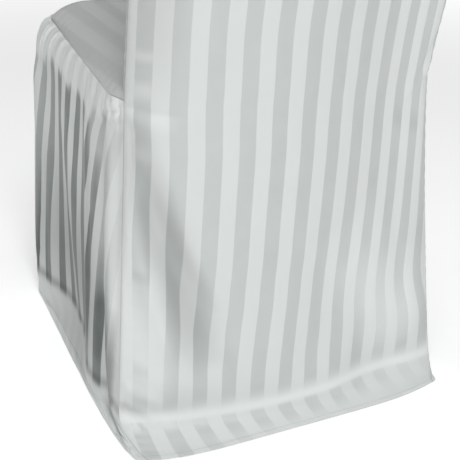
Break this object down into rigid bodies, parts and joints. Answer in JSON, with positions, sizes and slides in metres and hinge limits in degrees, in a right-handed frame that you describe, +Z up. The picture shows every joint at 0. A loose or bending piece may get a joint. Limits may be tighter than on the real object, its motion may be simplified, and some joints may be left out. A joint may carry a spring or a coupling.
{
  "type": "chair cover",
  "caption": "Fitted cloth cover for a padded dining chair: a tall back panel, a seat strip and a skirt sewn together, hollow inside, with a hem that spreads on the floor.",
  "frame": {"origin": "middle of the footprint at floor level", "axes": "+Z up, the open front of the seat faces -Y, the back of the cover faces +Y, and +X is the sitter's left"},
  "size_m": [0.4816, 0.6015, 0.92],
  "materials": {
    "back_cloth": "silver white striped satin",
    "seat_cloth": "silver white striped satin",
    "skirt_cloth": "silver white striped satin"
  },
  "bodies": {
    "root": {"back_panel": "back_cloth", "seat_panel": "seat_cloth", "skirt_panel": "skirt_cloth"}
  },
  "joints": []
}
